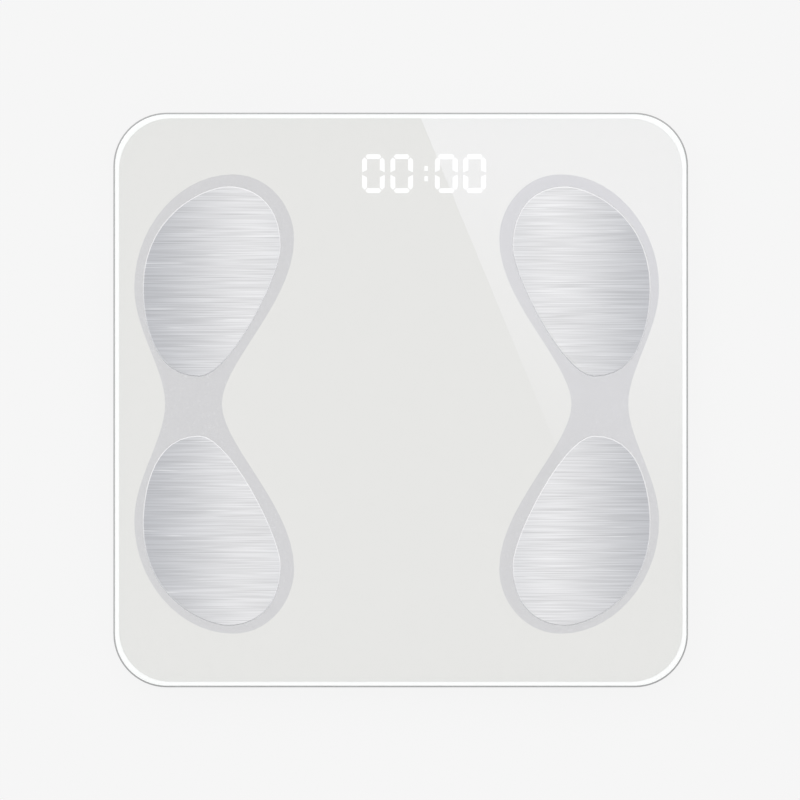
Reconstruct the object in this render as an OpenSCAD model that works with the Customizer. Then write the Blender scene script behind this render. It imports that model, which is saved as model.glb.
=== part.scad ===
// Digital bathroom scale: a glass platform bonded to a moulded tray that stands on four load-cell feet.
// Millimetres. X runs to the user's right, Y away from the user and Z up; the floor is z = 0.

/* [Platform] */
// Width of the scale, left to right
scale_w = 280; // [272:1:330]
// Depth of the scale, front to back
scale_d = 280; // [272:1:330]
// Corner radius of the tray seen from above
tray_corner_r = 26; // [22:1:32]
// Thickness of the toughened glass
glass_t = 5; // [4:0.5:8]
// How far the glass edge stands in from the tray edge
glass_inset = 0.5; // [0.3:0.1:1.5]
// Corner radius of the glass seen from above
glass_corner_r = 28; // [24:1:34]
// Width of the polished bevel round the top of the glass
bevel_w = 1.9; // [1:0.1:3]
// Height of the polished bevel round the top of the glass
bevel_h = 1.3; // [0.6:0.1:2]

/* [Print under the glass] */
// Thickness of the print
print_t = 0.2; // [0.1:0.05:0.4]
// Clear margin between the tray edge and the print
print_margin = 2.75; // [2:0.25:6]
// Corner radius of the print
print_corner_r = 25; // [20:1:30]
// Border of an hourglass field inside the electrodes
field_border_inner = 6.4; // [3:0.1:8]
// Border of an hourglass field outside the electrodes
field_border_outer = 4.2; // [2:0.1:5]
// Border of an hourglass field past the ends of the electrodes
field_border_end = 4.9; // [3:0.1:8]
// Width of an hourglass field at its waist
waist_w = 27.6; // [16:0.2:40]
// Distance from the side of the scale to the middle of the waist, with the pattern centred
waist_inset = 41; // [36:0.5:48]
// How far the fields are set back from the electrodes
field_shift = 1; // [0:0.1:2]

/* [Electrodes] */
// Centre of the electrode pattern, left to right
pattern_x = -1.95; // [-3:0.05:3]
// Centre of the electrode pattern, front to back
pattern_y = -2.95; // [-4:0.05:4]
// Width of one electrode
electrode_w = 67.3; // [56:0.1:69]
// Length of one electrode
electrode_l = 92.7; // [84:0.1:96]
// Distance from the side of the scale to an electrode, with the pattern centred
electrode_side_margin = 16.35; // [14:0.05:20]
// Distance from the front or rear of the scale to an electrode, with the pattern centred
electrode_end_margin = 33; // [30:0.5:38]
// Thickness of the stainless sheet
electrode_t = 0.8; // [0.6:0.1:1.2]
// Rounding of the sheet's upper edge
electrode_edge_r = 0.5; // [0.2:0.1:0.55]
// Diameter of the contact stud under each electrode
stud_d = 4; // [3:0.5:5]
// Hole in the glass round the stud
glass_hole_d = 6; // [5.5:0.5:8]

/* [Tray] */
// Height of the tray's underside above the floor
tray_lift = 5.5; // [5:0.5:9]
// Height of the tray from its underside to its top edge
tray_h = 12.5; // [12.5:0.5:18]
// Wall and floor thickness of the tray
tray_wall = 2; // [1.6:0.1:2.4]
// How far the side curves in from the edge to the flat underside
side_curve_w = 14; // [13:0.5:20]
// Height of that curve
side_curve_h = 8.5; // [6:0.5:10]
// Distance from the tray edge to the inner rim wall
inner_rim_in = 10; // [9:0.5:12]
// Thickness of the inner rim wall
inner_rim_t = 2; // [1.5:0.1:2.5]
// Spacing of the floor ribs
rib_pitch = 28; // [22:1:36]
// Thickness of the ribs
rib_t = 1.4; // [1:0.1:2]
// Thickness of the foam mounting tape
tape_t = 0.8; // [0.5:0.1:1.5]

/* [Feet] */
// Distance from the tray edge to the centre of a foot
foot_inset = 40; // [38:1:46]
// Diameter of the foot cup
foot_d = 38; // [32:1:38]
// Thickness of the foot cup
foot_cup_t = 3; // [2.5:0.25:3.5]
// Diameter of the rubber pad
pad_d = 33; // [26:1:34]
// Thickness of the rubber pad
pad_t = 3; // [2.5:0.25:4]
// Depth to which the pad sits in the cup
pad_seat = 1; // [0.5:0.25:1.5]
// Diameter of the foot's neck
neck_d = 14; // [12:0.5:16]
// Gap all round and above the foot in its pocket
foot_gap = 1.3; // [1.1:0.1:1.4]
// Travel of a foot at the greatest load
foot_travel = 0.8; // [0.4:0.1:0.8]

/* [Load cells] */
// Side of the square load cell
cell_w = 34; // [30:1:36]
// Thickness of the load cell
cell_t = 2; // [1.5:0.25:2.5]
// Width of the cell's outer frame
cell_frame = 5; // [4:0.5:6]
// Width of the cell's tongue
tongue_w = 15; // [13:0.5:17]
// Height of the corner pads below the cell
cell_pad_h = 0.6; // [0.4:0.1:1]
// Clearance round the cell and its clamp
cell_gap = 0.4; // [0.3:0.1:0.8]

/* [Display and electronics] */
// Height of the digits
digit_h = 18.9; // [14:0.1:22]
// Width of one digit
digit_w = 11; // [9:0.02:12]
// Width of a segment
segment_t = 2.36; // [1.8:0.02:2.6]
// Step from one digit to the next in a pair
digit_pitch = 13.8; // [13.2:0.1:15]
// Distance from the middle of the display to the first digit of each pair
pair_offset = 16.5; // [15:0.1:18]
// Middle of the display, left to right
display_x = 11.2; // [-10:0.1:20]
// Distance from the rear edge to the middle of the digits
display_inset = 29.7; // [28:0.1:36]
// Rim of the display frame round the digits
display_rim = 4; // [3:0.5:5]
// Length of the circuit board
board_w = 92; // [88:1:104]
// Depth of the circuit board
board_d = 33; // [31:0.5:35]
// Thickness of the circuit board
board_t = 1.6; // [1:0.1:2]
// Height of the board above the tray floor
board_lift = 3.3; // [3.1:0.1:4]

/* [Battery bay] */
// Diameter of an AAA cell
battery_d = 10.5; // [10.5:0.1:10.5]
// Length of an AAA cell
battery_l = 44.5; // [44.5:0.1:44.5]
// Room for each cell across the bay
battery_pitch = 11.2; // [11:0.1:12]
// Room for the springs and contacts at the ends of the cells
bay_end_room = 6.5; // [5.5:0.5:9]
// Distance from the rear edge to the middle of the bay
bay_inset = 102; // [96:1:120]
// Thickness of the bay's walls
bay_wall = 1.5; // [1.2:0.1:2]
// Thickness of the battery door
door_t = 1.6; // [1.4:0.1:1.8]
// Gap round the battery door
door_gap = 0.3; // [0.25:0.05:0.5]
// Width of the ledge that the door closes on
door_ledge = 2.5; // [2:0.1:3]
// Distance from the bay to the door's hinge edge
hinge_reach = 6; // [6:0.5:8]
// Width of a hinge tab
tab_w = 5; // [3:0.5:6]

/* [Unit button] */
// Diameter of the button
button_d = 9; // [7:0.5:11]
// Distance from the display's middle to the button
button_offset = 30; // [28:0.5:32]
// Gap round the button
button_gap = 0.4; // [0.3:0.05:0.6]
// Travel of the button
button_travel = 0.5; // [0.3:0.1:0.6]

/* [Hidden] */
$fn = 64;
sides = [-1, 1];
cut = 1; // how far a cutting shape runs past a face

// Heights of the stack, from the floor up
tray_top = tray_lift + tray_h;
floor_z = tray_lift + tray_wall;
print_z = tray_top + tape_t;
glass_z = print_z + print_t;
glass_top = glass_z + glass_t;
cup_z = pad_t - pad_seat;
cup_top = cup_z + foot_cup_t;
pocket_z = cup_top + foot_gap;
pocket_top = pocket_z + tray_wall;
cell_z = pocket_top + cell_pad_h;
cell_top = cell_z + cell_t;
board_z = floor_z + board_lift;
board_top = board_z + board_t;

// Tray
tray_edge_r = 0.6;
tape_inset = 0.8;
rim_inner = inner_rim_in + inner_rim_t;
curve_step = 15;

// Feet, load cells and their clamps
foot_x = scale_w / 2 - foot_inset;
foot_y = scale_d / 2 - foot_inset;
pocket_d = foot_d + 2 * foot_gap;
neck_hole_d = neck_d + 2 * foot_gap;
pad_fit = 0.2;
tread_step = 3;
tower_w = cell_w + 2 * cell_gap + 2 * rib_t;
slot_w = cell_w - 2 * cell_frame;
foot_screw_d = 4;
foot_screw_head = 8;
foot_screw_reach = 6;
screw_fit = 0.05;
ear_reach = 4;
ear_r = 3.5;
ear_t = 2;
ear_z = cell_top + 2.5;
lead_notch = 6;
clamp_screw_d = 2.5;

// Display and board
display_y = scale_d / 2 - display_inset;
board_gap = 1;
board_y = scale_d / 2 - rim_inner - board_gap - board_d / 2;
board_front = board_y - board_d / 2;
display_w = 2 * (pair_offset + digit_pitch) + 2 * display_rim;
display_d = digit_h + 2 * display_rim;
digit_x = [-pair_offset - digit_pitch + digit_w / 2 + 0.3, -pair_offset + digit_w / 2 + 0.3,
           pair_offset - digit_w / 2, pair_offset + digit_pitch - digit_w / 2];
segment_gap = 0.3;
colon_dot = [1.7, 2.46];
colon_rise = 2.5;
boss_in = 4;
chip_offset = 18;
chip_w = 8;
chip_d = 14;
chip_h = 1.6;
chip_stand = 0.2;
leg_reach = 1.2;
leg_w = 0.5;
board_screw_d = 2.2;
switch_w = 6;
switch_h = 1.8;
plunger_d = 3.2;
plunger_fit = 0.1;
plunger_hold = 0.6;
button_x = display_x + button_offset;
button_y = board_y;
flange_t = 0.7;
flange_over = 1.5;
pad_pitch = 7.2;
lead_end = 1.8;
lead_lane = 6; // spacing of the lanes that the leads run in
lead_h = 1.1;
cell_lead_w = 3.3;
wire_w = 1.6;

// Battery bay and its door
bay_y = scale_d / 2 - bay_inset;
bay_l = battery_l + bay_end_room;
bay_w = 3 * battery_pitch;
battery_gap = 0.15;
battery_z = tray_lift + door_t + battery_gap + battery_d / 2;
bay_roof_z = battery_z + battery_d / 2 + battery_gap;
bay_top = print_z - 0.1;
nub_d = 3.8;
nub_h = 1;
contact_t = 0.3;
contact_w = 8;
lug_w = 2;
latch_reach = 8;
latch_w = 9;
latch_t = 1.1;
latch_rise = 5;
latch_hook = 0.6;
door_left = -bay_l / 2 - hinge_reach;
door_right = bay_l / 2 + latch_reach;
door_w = bay_w + 2 * door_ledge;
hinge_r = door_t / 2;
hinge_x = door_left + hinge_r;
hinge_z = tray_lift + hinge_r;
tab_reach = 3.3;
tab_t = 1;
tab_y = 10;
tab_sweep = norm([tab_reach, hinge_r + tab_t]) + door_gap;
tab_root = 2.6;
door_step = 2; // step of thicker floor round the door
door_step_h = 1.2;

// Bare field for a rating plate and a shadow line, both sunk in the underside
plate_w = 58;
plate_d = 32;
plate_y = -scale_d * 0.17;
plate_r = 3;
plate_depth = 0.3;
line_inset = 62;
line_w = 1;
line_depth = 0.4;
line_r = 14;

// Electrodes, measured from the pattern's axis outwards and from its cross axis to the front and rear
electrode_inner = scale_w / 2 - electrode_side_margin - electrode_w;
electrode_near = scale_d / 2 - electrode_end_margin - electrode_l;

// Electrode outline: where its extremes lie, as fractions of its width and length
top_at = 0.38;
inner_at = 0.68;
low_at = 0.59;
outer_at = 0.467;
curve_n = 14;

// One cubic curve from p to q: lead and trail are the handles at its two ends
function curve(p, q, lead, trail) = [for (i = [0 : curve_n - 1]) let (t = i / curve_n, s = 1 - t)
  s * s * s * p + 3 * s * s * t * (p + lead) + 3 * s * t * t * (q + trail) + t * t * t * q];

// Rounded electrode outline in a box w by l, drawn anticlockwise from its far end
function electrode_outline(w, l) = let (top = [w * top_at, l], inner = [0, l * inner_at],
    low = [w * low_at, 0], outer = [w, l * outer_at])
  concat(
    curve(top, inner, [-top.x * 0.46, 0], [0, (l - inner.y) * 0.75]),
    curve(inner, low, [0, -inner.y * 0.22], [-low.x * 0.37, 0]),
    curve(low, outer, [(w - low.x) * 0.93, 0], [0, -outer.y * 0.22]),
    curve(outer, top, [0, (l - outer.y) * 0.72], [(w - top.x) * 0.29, 0]));

// Extremes of an hourglass field, from the pattern's axis outwards and from its cross axis backwards
field_in = electrode_inner - field_border_inner;
field_out = electrode_inner + electrode_w + field_border_outer;
field_l = electrode_near + electrode_l + field_border_end;
field_top = [field_in + (field_out - field_in) * 0.384, field_l];
field_inner = [field_in, field_l * 0.718];
field_outer = [field_out, field_l * 0.507];
waist_x = scale_w / 2 - waist_inset;
waist_in = [waist_x - waist_w / 2, 0];
waist_out = [waist_x + waist_w / 2, 0];

// Rear half of the hourglass, from the outer side of the waist round to its inner side
field_half = concat(
  curve(waist_out, field_outer, [0, field_outer.y * 0.30], [0, -field_outer.y * 0.36]),
  curve(field_outer, field_top, [0, (field_l - field_outer.y) * 0.54],
        [(field_outer.x - field_top.x) * 0.54, 0]),
  curve(field_top, field_inner, [(field_inner.x - field_top.x) * 0.61, 0],
        [0, (field_l - field_inner.y) * 0.48]),
  curve(field_inner, waist_in, [0, -field_inner.y * 0.38], [0, field_inner.y * 0.25]),
  [waist_in]);
field_outline = concat(field_half,
  [for (i = [len(field_half) - 2 : -1 : 1]) [field_half[i].x, -field_half[i].y]]);

// An anticlockwise outline moved inwards by d
function inset_outline(points, d) = let (n = len(points)) [for (i = [0 : n - 1])
  let (run = points[(i + 1) % n] - points[(i + n - 1) % n]) points[i] + d * [-run.y, run.x] / norm(run)];

// Flat ribbon w wide along a route, with mitred bends
function side_of(a, b) = [a.y - b.y, b.x - a.x] / norm(b - a);
function mitre(points, i) = let (n = len(points) - 1,
    before = side_of(points[max(i - 1, 0)], points[max(i, 1)]),
    after = side_of(points[min(i, n - 1)], points[min(i + 1, n)])) (before + after) / (1 + before * after);
function ribbon(points, w) = concat(
  [for (i = [0 : len(points) - 1]) points[i] + mitre(points, i) * w / 2],
  [for (i = [len(points) - 1 : -1 : 0]) points[i] - mitre(points, i) * w / 2]);

// Outer skin of the tray's side as [inset, height], moved inwards by d
function side_curve(d) = [for (a = [0 : curve_step : 90])
  [d + (side_curve_w - d) * (1 - cos(a)), tray_lift + side_curve_h - (side_curve_h - d) * sin(a)]];
function reversed(list) = [for (i = [len(list) - 1 : -1 : 0]) list[i]];

// ---- Shared shapes ----

// Box centred in X and Y, standing on z
module block(w, d, z, h) translate([-w / 2, -d / 2, z]) cube([w, d, h]);

// Disc or tube standing on z
module disc(d, z, h, bore = 0) translate([0, 0, z]) difference() {
  cylinder(d = d, h = h);
  if (bore > 0) translate([0, 0, -cut]) cylinder(d = bore, h = h + 2 * cut);
}

// A profile drawn as [inset, height], run round a rectangle with rounded corners
module sweep_rim(w, d, r) {
  for (turn = [0 : 3]) {
    across = turn % 2 == 0 ? w : d;
    along = turn % 2 == 0 ? d : w;
    rotate(90 * turn) translate([across / 2 - r, along / 2 - r, 0]) {
      rotate([90, 0, 0]) linear_extrude(along - 2 * r) translate([r, 0]) mirror([1, 0]) children();
      rotate_extrude(angle = 90) translate([r, 0]) mirror([1, 0]) children();
    }
  }
}

// Rounded slab: the swept border carries the profile, and a block fills the middle
module slab(w, d, r, z, h) {
  sweep_rim(w, d, r) children();
  block(w - 2 * r, d - 2 * r, z, h);
}

// Pan-head screw: head on z, shank below
module pan_screw(d, head_d, head_h, z, reach) {
  disc(d, z - reach, reach);
  disc(head_d, z, head_h * 0.4);
  translate([0, 0, z + head_h * 0.4]) difference() {
    cylinder(d1 = head_d, d2 = head_d * 0.7, h = head_h * 0.6);
    for (turn = [0, 90]) rotate(turn) translate([-d * 0.6, -d * 0.12, head_h * 0.2])
      cube([d * 1.2, d * 0.24, head_h]);
  }
}

// Places a child at a corner, with the child's -Y side towards the middle of the scale
module at_corner(sx, sy) translate([sx * foot_x, sy * foot_y, 0])
  mirror([0, sy > 0 ? 0 : 1, 0]) mirror([sx > 0 ? 0 : 1, 0, 0]) children();

// Places a child in one quarter of the electrode pattern, with +X outwards and +Y away from its cross axis
module in_quarter(sx, sy) translate([pattern_x, pattern_y, 0])
  mirror([sx > 0 ? 0 : 1, 0, 0]) mirror([0, sy > 0 ? 0 : 1, 0]) children();

stud_at = [electrode_inner + electrode_w * 0.52, electrode_near + electrode_l * 0.52];
function stud_place(sx, sy) = [pattern_x + sx * stud_at.x, pattern_y + sy * stud_at.y];
module at_studs() for (sx = sides, sy = sides) translate(stud_place(sx, sy)) children();

// Solder pad i of ten on the board's front edge
function pad_x(i) = display_x + (i - 4.5) * pad_pitch;
pad_y = board_front + lead_end;

// ---- Glass, print and electrodes ----

module glass_panel() color([0.86, 0.93, 0.92, 0.35]) {
  w = scale_w - 2 * glass_inset;
  d = scale_d - 2 * glass_inset;
  r = glass_corner_r;
  arris = 0.4;
  difference() {
    slab(w, d, r, glass_z, glass_t) polygon(concat(
      [[arris, glass_z], [0, glass_z + arris], [0, glass_top - bevel_h]],
      [[bevel_w * 0.12, glass_top - bevel_h * 0.55], [bevel_w * 0.45, glass_top - bevel_h * 0.18]],
      [[bevel_w, glass_top], [r, glass_top], [r, glass_z]]));
    at_studs() disc(glass_hole_d, glass_z - cut, glass_t + 2 * cut);
  }
}

module fields(z, h) for (sx = sides) field(sx, z, h);
module field(sx, z, h) translate([pattern_x, pattern_y + field_shift, z])
  mirror([sx > 0 ? 0 : 1, 0, 0]) linear_extrude(h) polygon(field_outline);

module backing_print() color([0.90, 0.90, 0.89]) difference() {
  slab(scale_w - 2 * print_margin, scale_d - 2 * print_margin, print_corner_r, print_z, print_t)
    translate([0, print_z]) square([print_corner_r, print_t]);
  fields(print_z - cut, print_t + 2 * cut);
  segments(print_z - cut, print_t + 2 * cut);
  middle_bars(print_z - cut, print_t + 2 * cut);
}

module field_print(sx) color([0.83, 0.83, 0.845]) difference() {
  field(sx, print_z, print_t);
  at_studs() disc(glass_hole_d, print_z - cut, print_t + 2 * cut);
}

module foam_tape() color([0.96, 0.96, 0.95]) {
  sweep_rim(scale_w, scale_d, tray_corner_r)
    translate([tape_inset, tray_top]) square([rim_inner - tape_inset, tape_t]);
  for (sx = sides, sy = sides) at_corner(sx, sy) difference() {
    block(cell_w - 2, cell_w - 2, tray_top, tape_t);
    block(slot_w, slot_w, tray_top - cut, tape_t + 2 * cut);
  }
}

module electrode(sx, sy) color([0.80, 0.80, 0.81]) in_quarter(sx, sy)
  translate([electrode_inner, electrode_near, glass_top]) {
    outline = electrode_outline(electrode_w, electrode_l);
    hull() for (a = [0, 45, 90])
      linear_extrude(electrode_t - electrode_edge_r * (1 - sin(a)))
        polygon(inset_outline(outline, electrode_edge_r * (1 - cos(a))));
  }

// Stud welded under each electrode, through the glass, with a ring terminal and a nut below the print
terminal_t = 0.5;
nut_h = 2.4;
nut_z = print_z - terminal_t - nut_h;
module electrode_studs() color([0.75, 0.75, 0.76]) at_studs() disc(stud_d, nut_z - 0.8, glass_top - nut_z + 0.8);
module stud_nuts() color([0.70, 0.68, 0.60]) at_studs() translate([0, 0, nut_z]) difference() {
  cylinder(d = stud_d * 1.95, h = nut_h, $fn = 6);
  translate([0, 0, -cut]) cylinder(d = stud_d + 2 * screw_fit, h = nut_h + 2 * cut);
}
module ring_terminals() color([0.78, 0.76, 0.70]) at_studs()
  disc(stud_d * 2.2, print_z - terminal_t, terminal_t, stud_d + 2 * screw_fit);

// Electrode leads lie taped against the print and drop to the board's front edge
module electrode_leads() color([0.20, 0.20, 0.22]) for (sx = sides, sy = sides) {
  start = stud_place(sx, sy) - [sx * stud_d * 1.1, 0];
  lane_x = sx * (foot_x - tower_w / 2 - lead_lane * (sy > 0 ? 2 : 3.5));
  lane_y = board_front - lead_lane * (sy > 0 ? 0.75 : 1.75);
  pad = sy > 0 ? (sx < 0 ? 0 : 9) : (sx < 0 ? 1 : 8);
  translate([0, 0, print_z - lead_h]) linear_extrude(lead_h) polygon(ribbon([start, [lane_x, start.y],
    [lane_x, lane_y], [pad_x(pad), lane_y], [pad_x(pad), pad_y]], wire_w));
  translate([pad_x(pad), pad_y - lead_end / 2, 0])
    block(wire_w, lead_end, board_top, print_z - lead_h - board_top);
}

// ---- Tray ----

// Outer skin with its floor strip, as [inset, height]
module skin_profile() polygon(concat(
  [[tray_edge_r, tray_top], [tray_edge_r * 0.3, tray_top - tray_edge_r * 0.3], [0, tray_top - tray_edge_r]],
  side_curve(0),
  [[tray_corner_r, tray_lift], [tray_corner_r, floor_z]],
  reversed(side_curve(tray_wall)),
  [[tray_wall, tray_top]]));

// Rib across the channel between the skin and the inner rim wall
module channel_rib() rotate([90, 0, 0]) translate([0, 0, -rib_t / 2]) linear_extrude(rib_t)
  polygon(concat([[tray_wall / 2, tray_top]], side_curve(tray_wall / 2),
    [[rim_inner - inner_rim_t / 2, floor_z - tray_wall / 2], [rim_inner - inner_rim_t / 2, tray_top]]));

rib_count = floor((min(scale_w, scale_d) / 2 - rim_inner) / rib_pitch);
module channel_ribs() for (turn = [0 : 3], k = [-rib_count + 1 : rib_count - 1]) rotate(90 * turn)
  translate([(turn % 2 == 0 ? scale_w : scale_d) / 2, k * rib_pitch, 0]) mirror([1, 0, 0]) channel_rib();

// Floor grid, left clear round the feet, the bay, the board and the button
module floor_ribs() difference() {
  translate([0, 0, floor_z]) for (k = [-rib_count : rib_count]) {
    translate([k * rib_pitch - rib_t / 2, -scale_d / 2 + rim_inner, 0])
      cube([rib_t, scale_d - 2 * rim_inner, board_top - floor_z]);
    translate([-scale_w / 2 + rim_inner, k * rib_pitch - rib_t / 2, 0])
      cube([scale_w - 2 * rim_inner, rib_t, board_top - floor_z]);
  }
  for (sx = sides, sy = sides) at_corner(sx, sy)
    block(tower_w + 4 * ear_reach, tower_w, floor_z - cut, board_top);
  translate([0, bay_y, 0]) translate([(door_left + door_right) / 2, 0, 0])
    block(door_right - door_left + 6, door_w + 6, floor_z - cut, board_top);
  translate([display_x, board_y, 0]) block(board_w + 2 * board_gap, board_d + 2 * board_gap, floor_z - cut, board_top);
}

// Pocket, corner pads, tower and clamp bosses of one load cell
module cell_seat() {
  disc(pocket_d + 2 * tray_wall, tray_lift, pocket_top - tray_lift);
  for (sx = sides, sy = sides) translate([sx * (cell_w - cell_frame) / 2, sy * (cell_w - cell_frame) / 2, 0])
    block(cell_frame, cell_frame, pocket_top - 0.5, cell_pad_h + 0.5);
  difference() {
    block(tower_w, tower_w, floor_z - 0.5, tray_top - floor_z + 0.5);
    block(tower_w - 2 * rib_t, tower_w - 2 * rib_t, floor_z - cut, tray_top);
    translate([0, -tower_w / 2, 0]) block(lead_notch, 4 * rib_t, cell_top, tray_top);
    block(tower_w + 2, 2 * ear_r + 2 * cell_gap, ear_z, tray_top);
  }
  for (sx = sides) translate([sx * (tower_w / 2 + ear_reach), 0, 0])
    disc(2 * ear_r, floor_z - 0.5, ear_z - floor_z + 0.5);
}
module cell_seat_cuts() {
  disc(pocket_d, tray_lift - cut, pocket_z - tray_lift + cut);
  disc(neck_hole_d, tray_lift, pocket_top);
  for (sx = sides) translate([sx * (tower_w / 2 + ear_reach), 0, 0])
    disc(clamp_screw_d + 2 * screw_fit, ear_z - 5, 5 + cut);
}

module bay_shell() translate([0, bay_y, 0]) {
  translate([(door_left + door_right) / 2, 0, 0])
    block(door_right - door_left + 2 * door_step, door_w + 2 * door_step, tray_lift, floor_z - tray_lift + door_step_h);
  block(bay_l + 2 * bay_wall, bay_w + 2 * bay_wall, floor_z - 0.5, bay_top - floor_z + 0.5);
}
module bay_cuts() translate([0, bay_y, 0]) {
  // door recess
  translate([door_left - door_gap, -door_w / 2 - door_gap, tray_lift - cut])
    cube([door_right - door_left + 2 * door_gap, door_w + 2 * door_gap, door_t + cut]);
  block(bay_l, bay_w, tray_lift - cut, bay_roof_z - tray_lift + cut);
  // slots that the hinge tabs swing in
  for (sy = sides) translate([hinge_x - tab_sweep, sy * tab_y - tab_w / 2 - door_gap, tray_lift + door_t - 0.1])
    cube([tab_sweep + tab_root, tab_w + 2 * door_gap, tray_h]);
  // slot above the lip that the latch hooks over
  translate([bay_l / 2 + bay_wall + door_gap, -latch_w / 2 - 2 * door_gap, tray_lift + door_t - 0.1])
    cube([latch_reach + 2, latch_w + 4 * door_gap, tray_h]);
  // slots for the two solder lugs
  for (i = [0, 2]) translate([bay_l / 2 - cut, (i - 1) * battery_pitch - lug_w / 2 - 0.2, board_top - 0.1])
    cube([bay_wall + 2 * cut, lug_w + 0.4, contact_t + 0.2]);
}

module board_bosses() for (sx = sides, sy = sides) at_board_screw(sx, sy) disc(5, floor_z - 0.5, board_lift + 0.5);
module at_board_screw(sx, sy) translate([display_x + sx * (board_w / 2 - boss_in),
  board_y + sy * (board_d / 2 - boss_in), 0]) children();

module base_tray() color([0.70, 0.70, 0.71]) difference() {
  union() {
    slab(scale_w, scale_d, tray_corner_r, tray_lift, tray_wall) skin_profile();
    sweep_rim(scale_w, scale_d, tray_corner_r)
      translate([inner_rim_in, floor_z - 0.5]) square([inner_rim_t, tray_top - floor_z + 0.5]);
    channel_ribs();
    floor_ribs();
    for (sx = sides, sy = sides) at_corner(sx, sy) cell_seat();
    bay_shell();
    board_bosses();
    translate([button_x, button_y, 0]) disc(button_d + 8, floor_z - 0.5, 0.5);
  }
  for (sx = sides, sy = sides) at_corner(sx, sy) cell_seat_cuts();
  bay_cuts();
  for (sx = sides, sy = sides) at_board_screw(sx, sy)
    disc(board_screw_d + 2 * screw_fit, floor_z, board_lift + cut);
  translate([button_x, button_y, 0]) {
    disc(button_d + 2 * button_gap, tray_lift - cut, tray_h);
    disc(button_d + 5, tray_lift - cut, 0.4 + cut);
  }
  translate([0, plate_y, 0]) slab(plate_w, plate_d, plate_r, tray_lift - cut, plate_depth + cut)
    translate([0, tray_lift - cut]) square([plate_r, plate_depth + cut]);
  sweep_rim(scale_w - 2 * line_inset, scale_d - 2 * line_inset, line_r)
    translate([0, tray_lift - cut]) square([line_w, line_depth + cut]);
}

// ---- Battery bay ----

// Door with a half-round hinge edge, two tabs and a sprung latch
module battery_door() color([0.70, 0.70, 0.71]) translate([0, bay_y, 0]) {
  difference() {
    union() {
      translate([hinge_x, -door_w / 2, tray_lift]) cube([door_right - hinge_x, door_w, door_t]);
      translate([hinge_x, -door_w / 2, hinge_z]) rotate([-90, 0, 0]) cylinder(r = hinge_r, h = door_w);
    }
    // notch round the latch's finger pad
    translate([door_right - latch_reach / 2, -latch_w / 2 - 0.8, tray_lift - cut])
      cube([latch_reach, latch_w + 1.6, door_t + 2 * cut]);
    // grip lines beside the latch
    for (k = [0 : 2]) translate([door_right - latch_reach / 2 - 2.5 - 2 * k, -latch_w / 2, tray_lift - cut])
      cube([0.8, latch_w, cut + 0.3]);
  }
  for (sy = sides) translate([hinge_x - tab_reach, sy * tab_y - tab_w / 2, tray_lift + door_t])
    cube([tab_reach + 1.5, tab_w, tab_t]);
  // latch: inner leg, bridge, outer leg, hook and finger pad in one profile
  translate([0, latch_w / 2, 0]) rotate([90, 0, 0]) linear_extrude(latch_w) polygon(latch_outline);
}
latch_in = bay_l / 2 + bay_wall + 2 * door_gap;
latch_out = door_right;
latch_top = tray_lift + door_t + latch_rise;
latch_outline = [
  [latch_in, tray_lift + door_t - 0.2], [latch_in, latch_top - 0.6], [latch_in + 0.6, latch_top],
  [latch_out - 0.6, latch_top], [latch_out, latch_top - 0.6], [latch_out, tray_lift + door_t + 1.6],
  [latch_out + door_gap + latch_hook, tray_lift + door_t + 0.9],
  [latch_out + door_gap + latch_hook, tray_lift + door_t + 0.1], [latch_out, tray_lift + door_t + 0.1],
  [latch_out, tray_lift], [latch_out - 1.6, tray_lift], [latch_out - latch_t, tray_lift + 0.8],
  [latch_out - latch_t, latch_top - latch_t], [latch_in + latch_t, latch_top - latch_t],
  [latch_in + latch_t, tray_lift + door_t - 0.2]];

// Cells lie side by side and point alternately left and right
module battery(i) color([0.62, 0.64, 0.66]) translate([0, bay_y + (i - 1) * battery_pitch, battery_z])
  rotate([0, i % 2 == 0 ? 90 : -90, 0]) translate([0, 0, battery_shift]) {
    cylinder(d = battery_d, h = battery_l - nub_h);
    translate([0, 0, battery_l - nub_h]) cylinder(d = nub_d, h = nub_h);
  }
battery_shift = bay_l / 2 - contact_t - battery_l;

module at_contacts(end) for (i = [0 : 2]) translate([0, bay_y + (i - 1) * battery_pitch, 0])
  mirror([i % 2 == 0 ? (end > 0 ? 0 : 1) : (end > 0 ? 1 : 0), 0, 0]) children();

// Flat contacts at the positive ends and spring plates at the negative ends
module battery_contacts() color([0.82, 0.80, 0.74]) {
  for (end = sides) at_contacts(end) translate([bay_l / 2 - contact_t, -contact_w / 2, battery_z - contact_w / 2])
    cube([contact_t, contact_w, contact_w]);
  // lugs through the wall to the leads
  for (i = [0, 2]) translate([bay_l / 2, bay_y + (i - 1) * battery_pitch - lug_w / 2, board_top])
    cube([bay_wall + 1.5, lug_w, contact_t]);
}

// Conical coil as one swept tube
coil_wire = 0.7;
coil_turns = 3.5;
coil_steps = 12;
coil_sides = 6;
coil_rings = floor(coil_turns * coil_steps);
coil_l = battery_shift + bay_l / 2 - contact_t;
function coil_point(i) = let (t = i / coil_rings, a = 360 * i / coil_steps, r = 3.4 - 1.2 * t)
  [r * cos(a), r * sin(a), coil_wire / 2 + t * (coil_l - coil_wire)];
module coil() polyhedron(
  points = [for (i = [0 : coil_rings], j = [0 : coil_sides - 1]) let (a = 360 * i / coil_steps,
    b = 360 * j / coil_sides) coil_point(i) + coil_wire / 2 * [cos(b) * cos(a), cos(b) * sin(a), sin(b)]],
  faces = concat([[for (j = [0 : coil_sides - 1]) j]],
    [for (i = [0 : coil_rings - 1], j = [0 : coil_sides - 1]) let (k = (j + 1) % coil_sides)
      [i * coil_sides + k, i * coil_sides + j, (i + 1) * coil_sides + j, (i + 1) * coil_sides + k]],
    [[for (j = [coil_sides - 1 : -1 : 0]) coil_rings * coil_sides + j]]));
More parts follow.
